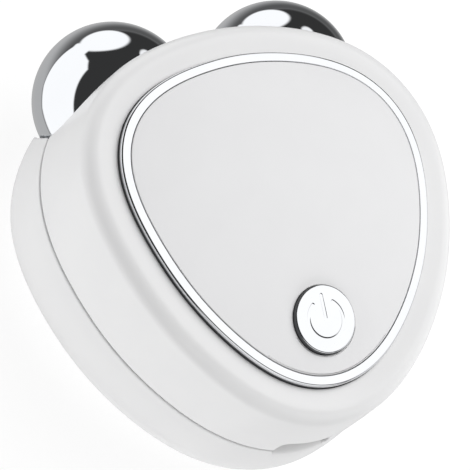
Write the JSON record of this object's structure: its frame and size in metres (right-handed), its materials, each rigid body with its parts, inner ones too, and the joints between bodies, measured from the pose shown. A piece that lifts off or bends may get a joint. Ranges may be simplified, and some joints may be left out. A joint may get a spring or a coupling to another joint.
{
  "type": "facial toning device",
  "caption": "Palm-sized facial toning device: rounded triangular body, domed face in a bright trim ring, press button, and bright treatment balls that roll at one end.",
  "frame": {"origin": "centre of the base of the bounding box, with the device lying on its flat back", "axes": "+Z out of the domed face, +Y from the charge socket towards the balls, +X across the face"},
  "size_m": [0.0532, 0.0579, 0.0292],
  "materials": {
    "shell": "satin",
    "trim": "polished",
    "panel": "satin",
    "adhesive": "matte",
    "button": "polished",
    "ball": "mirror polish",
    "hub": "moulded",
    "axle": "ground",
    "screw": "plain",
    "bush": "sintered bronze",
    "leaf": "rolled",
    "carrier": "moulded",
    "board": "solder mask",
    "chip": "moulded",
    "plunger": "moulded",
    "coil": "ferrite",
    "capacitor": "ceramic",
    "resistor": "ceramic",
    "socket_steel": "plated",
    "socket_plastic": "moulded",
    "cell": "pouch foil",
    "film": "tape",
    "foam": "foam",
    "plug": "moulded",
    "lead_red": "insulated wire",
    "lead_black": "insulated wire",
    "lead_white": "insulated wire"
  },
  "bodies": {
    "housing": {"front_shell": "shell", "rear_shell": "shell", "trim_ring": "trim", "face_panel": "panel", "panel_adhesive": "adhesive", "tact_switch": "chip", "main_board": "board", "board_screws": "screw", "control_chip": "chip", "charge_chip": "chip", "boost_coil": "coil", "board_capacitors": "capacitor", "board_resistors": "resistor", "charge_socket_shell": "socket_steel", "charge_socket_tongue": "socket_plastic", "battery_cell": "cell", "battery_board": "film", "battery_foam": "foam", "battery_plug": "plug", "battery_lead_red": "lead_red", "battery_lead_black": "lead_black", "carrier_front": "carrier", "carrier_rear": "carrier", "carrier_screws": "screw", "bush_left": "bush", "bush_right": "bush", "wiper_left": "leaf", "wiper_right": "leaf", "electrode_lead_left": "lead_white", "electrode_lead_right": "lead_white", "case_screws": "screw"},
    "ball_left": {"ball_left": "ball", "hub_left": "hub", "axle_left": "axle", "clip_left": "axle"},
    "ball_right": {"ball_right": "ball", "hub_right": "hub", "axle_right": "axle", "clip_right": "axle"},
    "button": {"power_button": "button"},
    "plunger": {"switch_plunger": "plunger"}
  },
  "joints": [
    {"name": "ball_left_spin", "type": "hinge", "parent": "housing", "child": "ball_left", "pos_m": [-0.01216, 0.01889, 0.01476], "axis": [-0.6428, 0.766, 0], "continuous": true},
    {"name": "ball_right_spin", "type": "hinge", "parent": "housing", "child": "ball_right", "pos_m": [0.01216, 0.01889, 0.01476], "axis": [0.6428, 0.766, 0], "continuous": true},
    {"name": "button_press", "type": "slide", "parent": "housing", "child": "button", "axis": [0, 0.1509, -0.9886], "range_m": [0, 0.0004], "stiffness_N_per_m": 3000, "springref_m": -0.0001},
    {"name": "plunger_press", "type": "slide", "parent": "housing", "child": "plunger", "axis": [0, 0, -1], "range_m": [0, 0.0004]}
  ],
  "couplings": [
    {"joint": "plunger_press", "follows": "button_press", "ratio": 0.98855}
  ]
}
